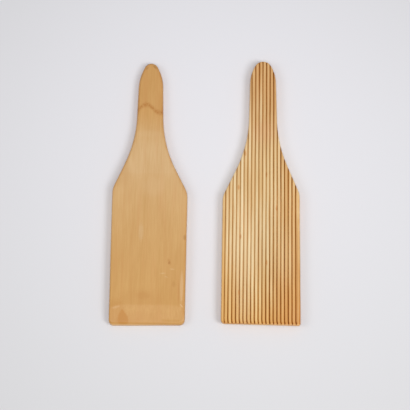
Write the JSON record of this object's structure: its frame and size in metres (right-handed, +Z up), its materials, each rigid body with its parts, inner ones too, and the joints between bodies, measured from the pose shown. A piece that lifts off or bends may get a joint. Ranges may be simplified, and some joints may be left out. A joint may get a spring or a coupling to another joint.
{
  "type": "pair of butter paddles",
  "caption": "Matched wooden butter paddles with flat blades and long round-ended handles, reeded on the working face and smooth on the back, for shaping butter by hand.",
  "frame": {"origin": "on the table, under the middle of the box round both paddles", "axes": "+Y from the blades' tips to the handles' ends, +Z up from the table, +X from the smooth-side-up paddle to the ridged-side-up one"},
  "size_m": [0.163, 0.2408, 0.009],
  "materials": {
    "smooth_up_wood": "planed and sanded bare beech, slightly oiled by use",
    "ridged_up_wood": "reeded bare beech, slightly oiled by use"
  },
  "bodies": {
    "root": {"smooth_side_up_paddle": "smooth_up_wood", "ridged_side_up_paddle": "ridged_up_wood"}
  },
  "joints": []
}
